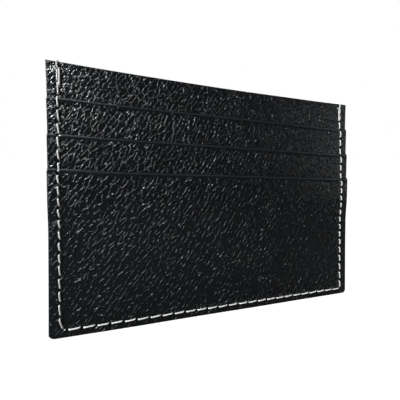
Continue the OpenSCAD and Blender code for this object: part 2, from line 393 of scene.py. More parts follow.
def grid_faces(rows, columns, start=0):
    """Quads of a grid of points that are numbered row by row."""
    index = start + np.arange(rows * columns).reshape(rows, columns)
    quads = np.stack([index[:-1, :-1], index[:-1, 1:], index[1:, 1:], index[1:, :-1]], -1)
    return quads.reshape(-1, 4).tolist()


def rim(rows_at, columns_at, start=0):
    """Points round a grid's rim, with their places along it from 0 to 4."""
    index = start + np.arange(len(rows_at) * len(columns_at)).reshape(len(rows_at), len(columns_at))
    ring = np.concatenate([index[0, :-1], index[:-1, -1], index[-1, :0:-1], index[:0:-1, 0]])
    at = np.concatenate([columns_at[:-1], 1 + rows_at[:-1], 3 - columns_at[:0:-1], 4 - rows_at[:0:-1]])
    return ring.tolist(), at.tolist()


def bridge(ring_a, at_a, ring_b, at_b):
    """Triangles that join two rims, walked side by side."""
    faces, i, j = [], 0, 0
    while i < len(ring_a) or j < len(ring_b):
        next_a = at_a[i + 1] if i + 1 < len(ring_a) else 4.0
        next_b = at_b[j + 1] if j + 1 < len(ring_b) else 4.0
        a, b = ring_a[i % len(ring_a)], ring_b[j % len(ring_b)]
        if j >= len(ring_b) or (i < len(ring_a) and next_a <= next_b):
            faces.append((a, b, ring_a[(i + 1) % len(ring_a)]))
            i += 1
        else:
            faces.append((a, b, ring_b[(j + 1) % len(ring_b)]))
            j += 1
    return faces


def closed_sheet(name, outer, inner, attributes, hides):
    """A closed sheet from a fine outer grid and a coarse inner one, each (points, rows at, columns at)."""
    (outer_co, outer_rows, outer_cols), (inner_co, inner_rows, inner_cols) = outer, inner
    count = outer_co.shape[0] * outer_co.shape[1]
    faces = grid_faces(*outer_co.shape[:2]) + grid_faces(*inner_co.shape[:2], start=count)
    faces += bridge(*rim(outer_rows, outer_cols), *rim(inner_rows, inner_cols, count))
    points = np.concatenate([outer_co.reshape(-1, 3), inner_co.reshape(-1, 3)])
    return mesh_object(name, points, faces, attributes, np.concatenate(hides))


def stitch_ends():
    """Needle holes of every seam as lists of [x, z], in the order in which they are sewn."""
    s = bpy.context.scene.holder_thread
    # The left and the bottom row share a hole at the corner, a little in from the left row's line
    corner = (LEFT_X + 0.6, SEAM_Z)
    first_bottom = LEFT_X + 1.7
    left = TOP_Z - TACK_LEFT
    right = TOP_Z - TACK_RIGHT
    tack_end = TOP_Z - TACK_TOP
    strand_end = TOP_Z - 1.5

    def eased(low, high, count):
        """Heights whose pitch is a little longer at both ends of the seam."""
        t = np.arange(count + 1) / count
        return low + (high - low) * (t + 0.12 * np.sin(2 * np.pi * t) / (2 * np.pi))

    return {
        "left": [corner] + [(LEFT_X, z) for z in eased(SEAM_Z, left, s.left_count)[1:]],
        "right": [(RIGHT_X, z) for z in eased(SEAM_Z, right, s.right_count)],
        "left_tack": [(LEFT_X, z) for z in np.linspace(left, tack_end, 3)],
        "right_tack": [(RIGHT_X, z) for z in np.linspace(right, tack_end, 3)],
        "bottom": [corner] + [(x, SEAM_Z) for x in np.linspace(first_bottom, RIGHT_X, s.bottom_count + 1)],
        "left_strand": [(LEFT_X + 0.42, TOP_Z - 6.9), (LEFT_X + 0.5, strand_end)],
        "right_strand": [(RIGHT_X - 0.42, TOP_Z - 6.4), (RIGHT_X - 0.5, strand_end)],
    }


def seam_dents(x, z):
    """How far the thread has drawn the leather in: a trough along the seams and a dimple at every hole."""
    dent = np.zeros_like(x)
    near = (np.abs(x) > RIGHT_X - 3) | (z < SEAM_Z + 3)
    px, pz = x[near], z[near]
    pull = np.zeros_like(px)
    for holes in stitch_ends().values():
        a, b = np.array(holes[0]), np.array(holes[-1])
        along = (b - a) / np.linalg.norm(b - a)
        s = np.clip((px - a[0]) * along[0] + (pz - a[1]) * along[1], 0, np.linalg.norm(b - a))
        off = np.hypot(px - a[0] - s * along[0], pz - a[1] - s * along[1])
        pull = np.maximum(pull, TROUGH_DEPTH * np.exp(-((off / TROUGH_HALF_W) ** 2)))
        for hole_x, hole_z in holes:
            from_hole = ((px - hole_x) ** 2 + (pz - hole_z) ** 2) / DIMPLE_HALF_W**2
            pull = np.maximum(pull, DIMPLE_DEPTH * np.exp(-from_hole))
    dent[near] = pull
    return dent


def side_columns(step):
    """Places of the points across a sheet, from -1 to 1, closer together at both ends."""
    edge = np.array([0, 0.05, 0.12, 0.2, 0.3, 0.42, 0.56, 0.74])
    middle = np.linspace(-SHEET_HALF_W + 1, SHEET_HALF_W - 1, int(2 * (SHEET_HALF_W - 1) / step))
    x = np.concatenate([-SHEET_HALF_W + edge, middle, SHEET_HALF_W - edge[::-1]])
    return x / SHEET_HALF_W


# One leather sheet: its lowest and highest edge, the height above which it shows, the depth of its inner face
# at a height, its thickness, how fine its grain is, how far the middle of its mouth sags and the left end
# rises, and how far below the mouth its grain stays calm
Sheet = namedtuple("Sheet", "name z0 mouth shown_above inner_d thickness fineness sag rise calm")


def same_depth(depth):
    """The depth of an inner face that is the same at every height."""
    return lambda z: np.full_like(z, depth)


def corner_inset(z, z0):
    """How far a rounded bottom corner draws the sheet's side in at height z."""
    if z0 >= CORNER_R:
        return np.zeros_like(z)
    up = np.clip(z - z0, 0, CORNER_R)
    return CORNER_R - np.sqrt(CORNER_R**2 - (CORNER_R - up) ** 2)


def hang(sheet, x, z):
    """How far a point of a sheet hangs below its place in the straight cut."""
    sink = sheet.sag * (1 - (x / SHEET_HALF_W) ** 2) - sheet.rise * smooth(RISE_START, RISE_END, x)
    return sink * smooth(sheet.shown_above - 1, sheet.mouth, z)


def sheet_profile(sheet, step):
    """Heights and depths of the rows, over the lip from its inner side and down the outer face."""
    lip = sheet.thickness / 2
    angles = np.radians(np.array([160, 132, 108, 86, 64, 42, 21]))
    rolled_z = sheet.mouth - lip + lip * np.sin(angles)
    rolled_d = lip - lip * np.cos(angles)
    down = np.arange(sheet.mouth - lip, max(sheet.shown_above, sheet.z0 + 0.8), -step)
    if sheet.shown_above > sheet.z0 + 2:
        rest = np.linspace(down[-1] - step, sheet.z0, 8)
    else:
        rest = sheet.z0 + np.array([0.62, 0.46, 0.32, 0.2, 0.1, 0.04, 0])
    flat = np.full(len(down) + len(rest), sheet.thickness)
    return np.concatenate([rolled_z, down, rest]), np.concatenate([rolled_d, flat])


def leather_sheet(side, sheet, number):
    """One sheet of pebbled leather with a rounded mouth and its cut edges rolled over."""
    sign = -1 if side == "front" else 1
    columns = side_columns(bpy.context.scene.holder_leather.step)
    lip = sheet.thickness / 2
    z_row, d_row = sheet_profile(sheet, bpy.context.scene.holder_leather.step)
    arc = np.concatenate([[0], np.cumsum(np.hypot(np.diff(z_row), np.diff(d_row)))])
    below = sheet.mouth - z_row
    z = np.repeat(z_row[:, None], len(columns), 1)
    x = np.repeat(columns[None, :] * SHEET_HALF_W, len(z_row), 0)
    corner = corner_inset(z, sheet.z0)
    x = x * (1 - corner / SHEET_HALF_W)
    from_edge = SHEET_HALF_W - np.abs(x) - corner
    if sheet.shown_above <= sheet.z0 + 2 or sheet.z0 < CORNER_R:
        from_edge = np.minimum(from_edge, z - sheet.z0 + 0.02)

    # The outer face falls off at the cut edges, swells under the lip and sinks under the thread
    roll = np.clip(1 - from_edge / ROLL_W, 0, 1)
    fall = ROLL_DROP * (1 - np.sqrt(1 - 0.985 * roll**2))
    body = sheet.thickness * 0.45
    dents = np.where(z_row[:, None] > sheet.shown_above - 0.3, seam_dents(x, z), 0)
    bead = 0.07 * np.exp(-(((below - 0.75) / 0.5) ** 2)) - 0.04 * np.exp(-(((below - 1.9) / 0.35) ** 2))
    bead = np.where(below > lip * 0.9, bead, 0)
    out = np.repeat(d_row[:, None], len(columns), 1)
    out = np.where(out > body, out - np.minimum(fall, out - body), out)
    out = out + (bead[:, None] - dents) * smooth(0, 0.3, below)[:, None]
    depth = sheet.inner_d(z) + out + lie(x, z)
    outer = np.stack([x, sign * depth, z - hang(sheet, x, z)], -1)

    # Grain fades on the lip, under the next sheet and where the thread pulls
    across = np.ones_like(x)
    relief = 0.10 + 0.90 * smooth(0.25 * sheet.calm, sheet.calm, below)[:, None] * across
    relief *= 1 - 0.75 * np.clip(dents / DIMPLE_DEPTH, 0, 1)
    relief *= 0.55 + 0.45 * smooth(0.1, 1.2, from_edge)
    relief *= np.where(z_row[:, None] > sheet.shown_above - 0.2, 1.0, 0.0)
    relief *= smooth(-0.2, 0.3, below)[:, None]
    band = (1 - smooth(0.9, 2.2, below))[:, None] * across
    # Painted highlight along the mouth, full on the pockets and faint on the body panel
    painted_lip_highlight = min(1.0, sheet.calm / 2) ** 3 * np.exp(-(((below - 0.42) / 0.3) ** 2))[:, None] * across

    inner_rows = np.linspace(0, 1, 14)
    inner_columns = np.linspace(0, 1, 26)
    inner_z = (sheet.mouth - lip) + (sheet.z0 - sheet.mouth + lip) * inner_rows
    iz, iu = np.meshgrid(inner_z, inner_columns * 2 - 1, indexing="ij")
    ix = iu * SHEET_HALF_W * (1 - corner_inset(iz, sheet.z0) / SHEET_HALF_W)
    inner = np.stack([ix, sign * (sheet.inner_d(iz) + lie(ix, iz)), iz - hang(sheet, ix, iz)], -1)

    # Every sheet is cut from its own place on the hide
    cut_at = np.array([37.0 * number, 61.0 * number + (230.0 if side == "back" else 0)])
    hides = (np.stack([x * -sign, np.repeat(sheet.mouth - arc[:, None], len(columns), 1)], -1),
             np.stack([ix * -sign, iz], -1))
    # The shade value paints shade over the dents at the holes and along the seams
    values = {"relief": relief, "band": band, "lip": painted_lip_highlight, "shade": dents / DIMPLE_DEPTH}
    return closed_sheet(
        f"{side}_{sheet.name}_leather",
        (outer, arc / arc[-1], (columns + 1) / 2),
        (inner, inner_rows, inner_columns),
        {name: np.concatenate([value.ravel(), np.zeros(ix.size)]) for name, value in values.items()},
        [(hide.reshape(-1, 2) + cut_at) * sheet.fineness * HIDE_MAP for hide in hides],
    )


# ---------------------------------------------------------------- materials


def new_material(name):
    """A material with an empty tree; gives it, its tree and its Principled shader."""
    material = bpy.data.materials.new(name)
    material.use_nodes = True
    tree = material.node_tree
    tree.nodes.clear()
    shader = tree.nodes.new("ShaderNodeBsdfPrincipled")
    out = tree.nodes.new("ShaderNodeOutputMaterial")
    tree.links.new(shader.outputs[0], out.inputs["Surface"])
    return material, tree, shader


def feed(tree, shader, name, value):
    """Links a value that changes over the surface to one of the shader's sockets."""
    tree.links.new(value.socket, shader.inputs[name])


def attribute(tree, name):
    """A value that the piece's own points carry."""
    return Wire.place(tree, "ShaderNodeAttribute", {"attribute_name": name}, out="Fac")


def hide_place(tree):
    """The place on the hide in millimetres, from the piece's own map."""
    return Wire.place(tree, "ShaderNodeUVMap", {"uv_map": "hide"}).vector("SCALE", 1 / HIDE_MAP)


def object_place(tree):
    """The place in the holder in millimetres."""
    return Wire.place(tree, "ShaderNodeTexCoord", out="Object").vector("SCALE", 1 / MM)


def leather_material():
    """Black pebbled leather: painted shade in the creases, pebble tops rubbed smooth, faint dye mottling and
    fine pores, a painted highlight along the mouths and painted shade in the dents under the thread.
    """
    s = bpy.context.scene.holder_leather
    material, tree, shader = new_material("pebbled_leather")
    place = hide_place(tree)
    grain = pebbles(place, s.cell, s.stretch, s.slant, 0.14)
    band, relief, dent_shade, lip = (attribute(tree, name) for name in ("band", "relief", "shade", "lip"))
    pores = place.noise(7.0, 3.0, 0.65, flat=True)
    mottle = place.noise(0.12, 3.0, 0.55, flat=True)
    rubbed = place.noise(0.5, 2.0, flat=True)
    tops = grain.soft_step(0.25, 0.8)
    dye = tuple(s.colour)
    crease_shade = (dye[0] * 0.35, dye[1] * 0.35, dye[2] * 0.36, 1)
    plain = (*dye, 1)
    light = (dye[0] * 1.7, dye[1] * 1.72, dye[2] * 1.8, 1)
    # The creases get a darker copy of the dye as painted shade; rubbed patches on the pebble tops are lighter
    # wear.
    wear_and_crease_shade = (rubbed.soft_step(0.5, 0.8) * tops).blend(tops.blend(crease_shade, plain), light)
    tint = mottle.soft_step(0.4, 0.65).blend((0.92, 0.97, 1.12, 1), (1.08, 1.0, 0.96, 1))
    colour = wear_and_crease_shade.add("ShaderNodeMix", {"data_type": "RGBA", "blend_type": "MULTIPLY"},
                      {"Factor": 1.0, 6: wear_and_crease_shade, 7: tint}, 2)
    # Painted highlight: a lighter band of colour along each mouth, where the lip value is set
    colour = (lip * (0.7 + 0.3 * rubbed)).blend(colour, (0.023, 0.025, 0.028, 1))
    # Painted shade: black blended in over the dents under the thread
    colour = (dent_shade * 0.7).low(1.0).blend(colour, (0.0, 0.0, 0.0, 1))
    feed(tree, shader, "Base Color", colour)
    roughness = tops.soft_step(0, 1, s.roughness + 0.07, s.roughness) + (pores - 0.5) * 0.12 - band * 0.04
    feed(tree, shader, "Roughness", roughness + (mottle - 0.5) * 0.14)
    coarse = (grain * relief.soft_step(0, 0.6)).bump(1.0, 0.00016)
    feed(tree, shader, "Normal", pores.bump(0.25, 0.00001, coarse))
    shader.inputs["Specular IOR Level"].default_value = 0.42
    return material


def paint_material():
    """Black edge paint, satin, with faint brush ripples and the layers showing through as dull lines."""
    material, tree, shader = new_material("black_edge_paint")
    place = object_place(tree)
    layers = attribute(tree, "layer")
    ripple = place.noise(1.3, 3.0)
    specks = place.noise(6.0, 2.0)
    coat = ripple.soft_step(0.3, 0.7).blend((0.010, 0.011, 0.012, 1), (0.016, 0.017, 0.019, 1))
    feed(tree, shader, "Base Color", layers.soft_step(0.2, 1).blend(coat, (0.004, 0.004, 0.004, 1)))
    feed(tree, shader, "Roughness", 0.34 + 0.2 * (specks - 0.5) + 0.25 * layers)
    feed(tree, shader, "Normal", (ripple * 0.7 + specks * 0.4 - layers * 0.6).bump(0.7, 0.00003))
    return material


def cloth_material():
    """Black lining cloth in a plain weave."""
    material, tree, shader = new_material("lining_cloth")
    place = hide_place(tree)
    parts = place.add("ShaderNodeSeparateXYZ", inputs={0: place})
    pitch = 0.16
    over = (parts * (math.pi / pitch)).math("SINE", parts * (math.pi / pitch))
    up = parts.other("Y")
    cross = up.math("SINE", up * (math.pi / pitch))
    weave = (over * cross).soft_step(-0.6, 0.6)
    ridges = over.math("ABSOLUTE", over).high(cross.math("ABSOLUTE", cross))
    slubs = place.noise(1.5, 3.0, flat=True)
    tone = weave * 0.5 + slubs * 0.5
    feed(tree, shader, "Base Color", tone.blend((0.014, 0.0135, 0.014, 1), (0.035, 0.034, 0.036, 1)))
    feed(tree, shader, "Roughness", 0.62 + 0.2 * slubs)
    feed(tree, shader, "Normal", (ridges * 0.6 + weave * 0.4).bump(0.8, 0.00003))
    shader.inputs["Sheen Weight"].default_value = 0.15
    return material


def thread_material(name, colour):
    """Waxed, plied sewing thread: light plies with painted shade in the grooves between them, fine fibres and
    a little grey dirt.
    """
    material, tree, shader = new_material(name)
    place = object_place(tree)
    ply = attribute(tree, "ply")
    fibre = place.noise(14.0, 3.0)
    grime = place.noise(0.9, 2.0)
    light = (*colour, 1)
    groove_shade = (colour[0] * 0.55, colour[1] * 0.52, colour[2] * 0.48, 1)
    dirty = (colour[0] * 0.80, colour[1] * 0.78, colour[2] * 0.74, 1)
    # Painted shade: the grooves between the plies get a darker copy of the thread's colour
    clean = (fibre * 0.35 + ply * 0.65).soft_step(0.15, 0.75).blend(groove_shade, light)
    feed(tree, shader, "Base Color", (grime.soft_step(0.5, 0.75) * 0.6).blend(clean, dirty))
    feed(tree, shader, "Roughness", 0.48 + 0.25 * fibre)
    feed(tree, shader, "Normal", fibre.bump(0.5, 0.00002))
    shader.inputs["Sheen Weight"].default_value = 0.2
    return material


def board_material():
    """Grey bonded-fibre board."""
    material, tree, shader = new_material("fibre_board")
    place = object_place(tree)
    fibres = place.noise(3.0, 5.0, 0.7, 1.2)
    flecks = place.add("ShaderNodeTexVoronoi", inputs={"Vector": place, "Scale": 1.6}, out="Distance")
    tone = fibres * 0.7 + flecks.soft_step(0.0, 0.25) * 0.3
    grey = tone.soft_step(0.3, 0.8).blend((0.07, 0.065, 0.058, 1), (0.15, 0.14, 0.125, 1))
    feed(tree, shader, "Base Color", grey)
    feed(tree, shader, "Roughness", 0.75 + 0.2 * fibres)
    feed(tree, shader, "Normal", tone.bump(0.5, 0.00003))
    return material


def dress(obj, material, node):
    """Gives a finished piece its material and body, and hides the CAD node that it stands for."""
    obj.data.materials.clear()
    obj.data.materials.append(material)
    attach(obj, ROOT)
    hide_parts(node)


# ---------------------------------------------------------------- the pieces


def grain_tree():
    """Geometry Nodes tree that raises the pebbled grain on a sheet where its relief value allows."""
    tree, read = new_tree("raise_grain", [
        ("Height", "NodeSocketFloat", 0.00006),
        ("Material", "NodeSocketMaterial", None),
    ])
    s = bpy.context.scene.holder_leather

    def stored(name, kind):
        return Wire.place(tree, "GeometryNodeInputNamedAttribute", {"data_type": kind}, {"Name": name})

    hide = stored("hide", "FLOAT_VECTOR")
    relief = stored("relief", "FLOAT")
    grain = pebbles(hide.vector("SCALE", 1 / HIDE_MAP), s.cell, s.stretch, s.slant, 0.34)
    normal = Wire.place(tree, "GeometryNodeInputNormal")
    lift = (grain - 0.6) * relief * read("Height")
    raised = lift.add("GeometryNodeSetPosition", inputs={
        "Geometry": read("Geometry"), "Offset": normal.vector("SCALE", lift)})
    end_tree(tree, raised, read("Material"))
    return tree


class HOLDER_OT_leather(bpy.types.Operator):
    """Builds the leather panels and pockets of both halves"""

    bl_idname = "holder.leather"
    bl_label = "Leather panels and pockets"

    def execute(self, context):
        s = context.scene.holder_leather
        material = leather_material()
        tree = grain_tree()
        # A sheet keeps its full detail this far below the next one's mouth
        hidden = 0.6
        sheets = (
            Sheet("body_panel", SHEET_Z0, TOP_Z, MOUTHS[0] - hidden, same_depth(PANEL_D), PANEL_T,
                  fineness=1.15, sag=0.62, rise=0.0, calm=1.1),
            Sheet("top_pocket", span("front_top_pocket", 2)[0], MOUTHS[0], MOUTHS[1] - hidden,
                  same_depth(TOP_D), POCKET_T, fineness=1.08, sag=0.0, rise=0.15, calm=2.3),
            Sheet("middle_pocket", EASE_TOP, MOUTHS[1], MOUTHS[2] - hidden,
                  same_depth(MIDDLE_D), POCKET_T, fineness=1.04, sag=0.0, rise=0.15, calm=2.3),
            Sheet("bottom_pocket", SHEET_Z0, MOUTHS[2], SHEET_Z0,
                  lambda z: BOTTOM_OUT - POCKET_T - bottom_ease(z), POCKET_T,
                  fineness=0.95, sag=0.0, rise=0.35, calm=2.3),
        )
        values = {"Height": s.height, "Material": material}
        for side in SIDES:
            for number, sheet in enumerate(sheets, 1):
                rough = leather_sheet(side, sheet, number)
                piece = run_tree(rough, tree, values, f"{side}_{sheet.name}_leather")
                dress(piece, material, f"{side}_{sheet.name}")
        return {"FINISHED"}


def lining_cloth(node, side, thickness, number):
    """One lining, which eases towards the middle below the middle pocket; gives it and its flat size."""
    (x0, x1), (z0, z1), (near, far) = span(node, 0), span(node, 2), depth_span(node)
    ease = far - near - thickness
    sign = -1 if side == "front" else 1
    u, v = np.linspace(0, 1, 40), np.linspace(0, 1, 24)
    z, x = np.meshgrid(z1 + (z0 - z1) * v, x0 + (x1 - x0) * u, indexing="ij")
    grids, hides = [], []
    for outward in (1, 0):
        depth = near + ease * smooth(EASE_TOP - EASE_LENGTH, EASE_TOP, z) + outward * thickness
        grids.append((np.stack([x, sign * (depth + wave(x, z)), z], -1), v, u))
        hides.append(np.stack([x, z], -1).reshape(-1, 2) * HIDE_MAP + number)
    piece = closed_sheet(f"{node}_cloth", *grids, {}, hides)
    return piece, ((x1 - x0) * MM, (z1 - z0) * MM)


class HOLDER_OT_linings(bpy.types.Operator):
    """Builds the thin lining cloths of the pockets"""

    bl_idname = "holder.linings"
    bl_label = "Linings"

    def execute(self, context):
        material = cloth_material()
        for side in SIDES:
            near, far = depth_span(f"{side}_top_pocket_lining")
            thickness = far - near
            for number, pocket in enumerate(("top_pocket", "middle_pocket", "bottom_pocket", "centre")):
                name = f"{side}_{pocket}_lining"
                piece, size = lining_cloth(name, side, thickness, number)
                dress(piece, material, name)
        return {"FINISHED"}


def edge_path():
    """Points of the cut edge from the top left corner round to the top right, with outward directions."""
    step = 0.3
    centre_x = EDGE_HALF_W - CORNER_R

    def rounded_corner(x, start):
        """A quarter turn round a corner's centre, from this outward angle on."""
        return [(x + CORNER_R * math.cos(a), CORNER_R + CORNER_R * math.sin(a), math.cos(a), math.sin(a))
                for a in start + np.linspace(0, math.pi / 2, 9)]

    points = [(-EDGE_HALF_W, z, -1.0, 0.0) for z in np.arange(TOP_Z - 0.02, CORNER_R, -step)]
    points += rounded_corner(-centre_x, math.pi)
    points += [(x, 0.0, 0.0, -1.0) for x in np.arange(-centre_x + step, centre_x, step)]
    points += rounded_corner(centre_x, 1.5 * math.pi)
    points += [(EDGE_HALF_W, z, 1.0, 0.0) for z in np.arange(CORNER_R + step, TOP_Z, step)]
    return np.array(points)


def edge_coat(name, run):
    """One painted edge: a rounded face over the stack, with faint lines where its layers meet, and a back."""
    # Across the stack, from -1 to 1, closer together at both ends
    across = np.concatenate([np.linspace(-1, -0.92, 5), np.linspace(-0.9, 0.9, 49), np.linspace(0.92, 1, 5)])
    across = across[None, :]
    # Each layer's line lies this far inside its sheet and is this wide
    inset = line_w = 0.07
    ease = bottom_ease(run[:, 1:2])
    joints = (0.0, (PANEL_D + depth_span("front_reinforcement")[0]) / 2, TOP_D - inset,
              MIDDLE_D - inset - 0.55 * ease, BOTTOM_OUT - POCKET_T - inset - ease)
    x, z, nx, nz = (run[:, i : i + 1] for i in range(4))
    half = soft_depth(z, 0.1, 0.25) - 0.15
    y = across * half
    layer = np.zeros_like(y)
    for joint in joints:
        layer = np.maximum(layer, np.exp(-(((np.abs(y) - joint) / line_w) ** 2)) * (joint < half))
    rounded = 1 - np.abs(across) ** 5
    wobble = 0.03 * np.sin(x / 2.3 + z / 1.7 + y) + 0.02 * np.sin(z / 0.6 + x / 0.7)
    out = PAINT_T * (0.45 + 0.55 * rounded) - 0.05 * layer - PAINT_T + wobble * rounded
    face = np.stack([x + nx * out, y + lie(x, z) * across, z + nz * out], -1)
    sunk = np.full_like(y, -PAINT_T - 0.12)
    back = np.stack([x + nx * sunk, y * 0.97, z + nz * sunk], -1)
    rows, columns = y.shape
    faces = grid_faces(rows, columns) + grid_faces(rows, columns, y.size)
    at_rows, at_columns = np.linspace(0, 1, rows), np.linspace(0, 1, columns)
    faces += bridge(*rim(at_rows, at_columns), *rim(at_rows, at_columns, y.size))
    points = np.concatenate([face.reshape(-1, 3), back.reshape(-1, 3)])
    return mesh_object(f"{name}_edge_coat", points, faces,
                       {"layer": np.concatenate([layer.ravel(), np.zeros(y.size)])})


class HOLDER_OT_edge_paint(bpy.types.Operator):
    """Builds the painted edges, rounded over the stack of cut sheets"""

    bl_idname = "holder.edge_paint"
    bl_label = "Edge paint"

    def execute(self, context):
        material = paint_material()
        path = edge_path()
        end_x = span("left_edge_paint", 0)[1]
        x = path[:, 0]
        # The three coats overlap a little at both corners
        runs = {"left": x < end_x + 0.2, "bottom": (np.abs(x) < -end_x + 0.35) & (path[:, 1] < 1),
                "right": x > -end_x - 0.2}
        for name, keep in runs.items():
            dress(edge_coat(name, path[keep]), material, f"{name}_edge_paint")
        return {"FINISHED"}


def thread_tree():
    """Geometry Nodes tree that lays a plied, twisted thread along every stitch's path."""
    tree, read = new_tree("lay_thread", [
        ("Thread radius", "NodeSocketFloat", 0.00023),
        ("Twist length", "NodeSocketFloat", 0.0013),
        ("Plies", "NodeSocketFloat", 3.0),
        ("Groove depth", "NodeSocketFloat", 0.2),
        ("Point spacing", "NodeSocketFloat", 0.00011),
        ("Material", "NodeSocketMaterial", None),
    ])
    path = Wire.place(tree, "GeometryNodeResampleCurve", {"mode": "LENGTH"},
                      {"Curve": read("Geometry"), "Length": read("Point spacing")})
    length = Wire.place(tree, "GeometryNodeSplineParameter", out="Length")
    turns = length.math("DIVIDE", length, read("Twist length"))
    turned = path.add("GeometryNodeSetCurveTilt", inputs={"Curve": path, "Tilt": turns * (2 * math.pi)})
    ring = Wire.place(tree, "GeometryNodeCurvePrimitiveCircle", {"mode": "RADIUS"},
                      {"Resolution": 12, "Radius": read("Thread radius")}, "Curve")
    place = Wire.place(tree, "GeometryNodeInputPosition")
    parts = place.add("ShaderNodeSeparateXYZ", inputs={0: place})
    angle = parts.math("ARCTAN2", parts.other("Y"), parts)
    ply = (angle * read("Plies")).math("COSINE", angle * read("Plies"))
    stored = ring.add("GeometryNodeStoreNamedAttribute", {"data_type": "FLOAT", "domain": "POINT"},
                      {"Geometry": ring, "Name": "ply", "Value": ply * 0.5 + 0.5})
    narrowed = 1 - read("Groove depth") * (0.5 - ply * 0.5)
    lobed = ring.add("GeometryNodeSetPosition",
                     inputs={"Geometry": stored, "Position": place.vector("SCALE", narrowed)})
    tube = ring.add("GeometryNodeCurveToMesh",
                    inputs={"Curve": turned, "Profile Curve": lobed, "Fill Caps": True})
    smooth_tube = tube.add("GeometryNodeSetShadeSmooth", inputs={"Geometry": tube, "Shade Smooth": True})
    end_tree(tree, smooth_tube, read("Material"))
    return tree


def stitch_path(side, a, b, rng, tilt, gap):
    """Points and radii of one stitch, which rises at hole a, lies on the leather and goes down at hole b.

    The stitch shows from gap after hole a to gap before hole b, and leans sideways by tilt over its length.
    """
    radius = bpy.context.scene.holder_thread.radius / MM
    a, b = np.array(a), np.array(b)
    length = np.linalg.norm(b - a)
    along = (b - a) / length
    across = np.array([-along[1], along[0]])
    start = gap + np.array([0, 0.04, 0.14, 0.3])
    middle = np.linspace(gap + 0.42, length - gap - 0.42, 9)
    stations = np.concatenate([start, middle, length - start[::-1]])
    stations = stations[np.concatenate([[True], np.diff(stations) > 0.01])]
    slip = rng.uniform(-0.05, 0.05, 2)
    t = (stations - gap) / (length - 2 * gap)
    bow = 0.03 * np.sin(math.pi * t)
    sideways = slip[0] * (1 - t) + slip[1] * t + tilt * (t - 0.5) + bow * rng.uniform(-1, 1)
    flat = a[None, :] + stations[:, None] * along[None, :] + sideways[:, None] * across[None, :]
    x, z = flat[:, 0], flat[:, 1]
    # The ends go down into the holes and are a little thinner there
    from_hole = np.minimum(stations - gap, length - gap - stations)
    lift = radius * 0.72 - 0.62 * np.exp(-((from_hole / 0.14) ** 2)) + bow
    sign = -1 if side == "front" else 1
    points = np.stack([x, sign * (soft_depth(z, 0.07, 0.2) + lift + wave(x, z)), z], 1)
    return points, 0.72 + 0.28 * np.clip(from_hole / 0.3, 0, 1)


def wrap_path(x, sway):
    """The thread's turn over the top edge at one end of a seam, with a little sway sideways at the top."""
    radius = bpy.context.scene.holder_thread.radius / MM
    depth = PANEL_OUT + radius * 0.7
    z0 = TOP_Z - TACK_TOP + 0.15
    shoulder = 0.3
    # Under 1, the turn is squarer than a circle
    bend = 0.55
    front = [(x, -(PANEL_OUT - 0.5), z0), (x, -(PANEL_OUT - 0.1), z0 + 0.05), (x, -depth, z0 + 0.25),
             (x, -depth, z0 + 1.0)]
    over = []
    for a in np.linspace(0, math.pi, 9):
        y = -depth * np.sign(math.cos(a)) * abs(math.cos(a)) ** bend
        z = TOP_Z - shoulder + (shoulder + radius * 0.75) * math.sin(a) ** bend
        over.append((x + sway * math.sin(a), y, z))
    back = [(x, -y, z) for x, y, z in front[::-1]]
    points = np.array(front + over + back)
    points[:, 1] += wave(points[:, 0], points[:, 2]) * np.sign(points[:, 1])
    radii = np.ones(len(points))
    radii[0] = radii[-1] = 0.75
    return points, radii


def loose_ends():
    """Short cut ends of thread beside both back-tacks."""
    radius = bpy.context.scene.holder_thread.radius / MM
    ends = []
    starts = ((LEFT_X - 0.15, TOP_Z - 2.6, -0.55, 0.75), (RIGHT_X + 0.05, TOP_Z - 2.4, -1.1, 0.45))
    for x, z, dx, dz in starts:
        t = np.linspace(0, 1, 7)
        depth = PANEL_OUT + radius * 0.55 + 0.12 * np.sin(math.pi * t)
        px, pz = x + dx * t, z + dz * t + 0.1 * np.sin(math.pi * t)
        points = np.stack([px, -(depth + wave(px, pz)), pz], 1)
        points[0, 1] += 0.3
        ends.append((points, np.linspace(0.8, 0.5, 7)))
    return ends


class HOLDER_OT_stitching(bpy.types.Operator):
    """Sews the front and back seams with twisted thread"""

    bl_idname = "holder.stitching"
    bl_label = "Stitching"

    def execute(self, context):
        s = context.scene.holder_thread
        material = thread_material("waxed_thread", tuple(s.colour))
        tree = thread_tree()
        values = {"Thread radius": s.radius, "Twist length": s.twist, "Material": material}
        # The lean of a seam's stitches and the gap at their holes
        looks = {"bottom": (0.2, 0.37), "left": (0.3, 0.46), "right": (0.15, 0.54)}
        for number, side in enumerate(SIDES):
            rng = np.random.default_rng(11 + number)
            paths = []
            for seam, holes in stitch_ends().items():
                lean, gap = looks.get(seam, (0.0, 0.2))
                for a, b in zip(holes[:-1], holes[1:]):
                    paths.append(stitch_path(side, a, b, rng, lean, gap))
            if side == "front":
                paths += [wrap_path(LEFT_X, 0.05), wrap_path(RIGHT_X, -0.05)]
                paths += loose_ends()
            curve = bpy.data.curves.new(f"{side}_thread_paths", "CURVE")
            curve.dimensions = "3D"
            for points, radii in paths:
                spline = curve.splines.new("POLY")
                spline.points.add(len(points) - 1)
                spline.points.foreach_set("co", np.c_[draw_in(points) * MM, np.ones(len(points))].ravel())
                spline.points.foreach_set("radius", np.asarray(radii, float))
            rough = bpy.data.objects.new(f"{side}_thread_paths", curve)
            context.scene.collection.objects.link(rough)
            piece = run_tree(rough, tree, values, f"{side}_thread")
            dress(piece, material, f"{side}_stitching")
        return {"FINISHED"}


